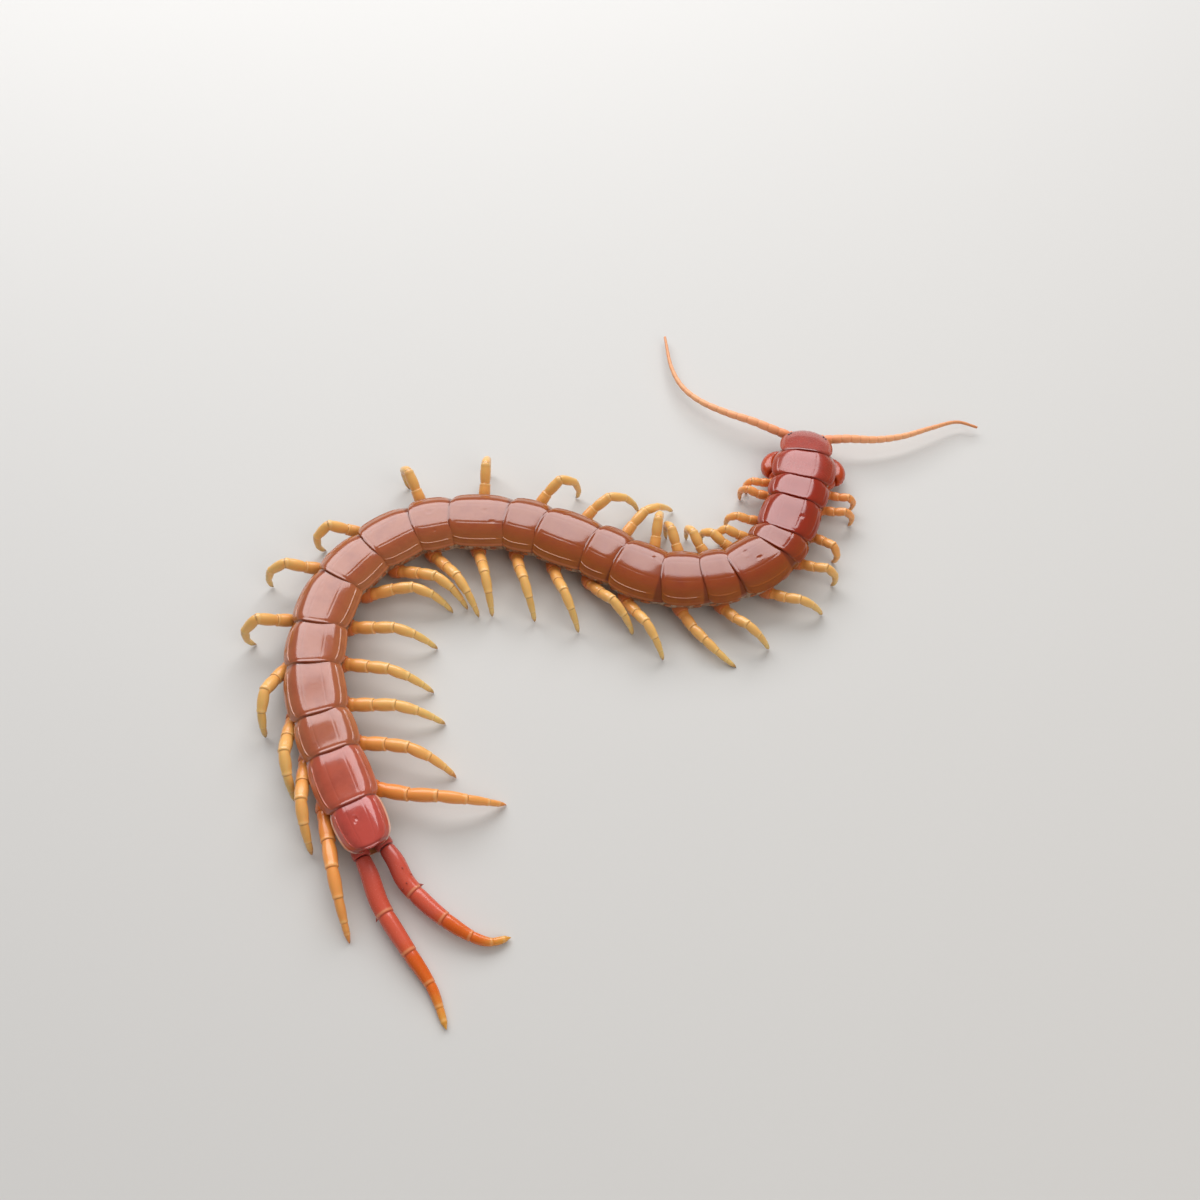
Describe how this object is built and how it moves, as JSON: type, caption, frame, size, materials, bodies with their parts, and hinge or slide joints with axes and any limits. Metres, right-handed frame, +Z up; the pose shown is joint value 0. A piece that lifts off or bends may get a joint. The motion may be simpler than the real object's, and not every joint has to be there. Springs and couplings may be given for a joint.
{
  "type": "giant centipede",
  "caption": "Still life-size model of a giant centipede, its flat plated body curled in a hook, feelers spread, walking legs splayed and the last pair trailing.",
  "frame": {"origin": "on the floor, under the middle of the whole outline, feelers and legs included", "axes": "+Z up; +Y away from the camera of the picture; +X to the right of the picture"},
  "size_m": [0.1476, 0.1512, 0.0092],
  "materials": {
    "shell_red_brown": "glossy, waxy horn",
    "shell_dusky_red": "satin, waxy horn",
    "leg_amber": "satin horn, a little clear",
    "leg_coral": "satin horn",
    "feeler_peach": "matt with fine down",
    "claw_orange": "glossy horn, dark at the tips"
  },
  "bodies": {
    "root": {"head": "shell_dusky_red", "feeler_left": "feeler_peach", "feeler_right": "feeler_peach", "poison_claw_left": "claw_orange", "poison_claw_right": "claw_orange", "trunk_01_02": "shell_red_brown", "trunk_03_04": "shell_red_brown", "trunk_05_06": "shell_red_brown", "trunk_07_08": "shell_red_brown", "trunk_09_10": "shell_red_brown", "trunk_11_12": "shell_red_brown", "trunk_13_14": "shell_red_brown", "trunk_15_16": "shell_red_brown", "trunk_17_18": "shell_red_brown", "trunk_19_20": "shell_red_brown", "trunk_21": "shell_red_brown", "leg_left_01": "leg_amber", "leg_right_01": "leg_amber", "leg_left_02": "leg_amber", "leg_right_02": "leg_amber", "leg_left_03": "leg_amber", "leg_right_03": "leg_amber", "leg_left_04": "leg_amber", "leg_right_04": "leg_amber", "leg_left_05": "leg_amber", "leg_right_05": "leg_amber", "leg_left_06": "leg_amber", "leg_right_06": "leg_amber", "leg_left_07": "leg_amber", "leg_right_07": "leg_amber", "leg_left_08": "leg_amber", "leg_right_08": "leg_amber", "leg_left_09": "leg_amber", "leg_right_09": "leg_amber", "leg_left_10": "leg_amber", "leg_right_10": "leg_amber", "leg_left_11": "leg_amber", "leg_right_11": "leg_amber", "leg_left_12": "leg_amber", "leg_right_12": "leg_amber", "leg_left_13": "leg_amber", "leg_right_13": "leg_amber", "leg_left_14": "leg_amber", "leg_right_14": "leg_amber", "leg_left_15": "leg_amber", "leg_right_15": "leg_amber", "leg_left_16": "leg_amber", "leg_right_16": "leg_amber", "leg_left_17": "leg_amber", "leg_right_17": "leg_amber", "leg_left_18": "leg_amber", "leg_right_18": "leg_amber", "leg_left_19": "leg_amber", "leg_right_19": "leg_amber", "leg_left_20": "leg_amber", "leg_right_20": "leg_amber", "leg_left_21": "leg_coral", "leg_right_21": "leg_coral"}
  },
  "joints": []
}
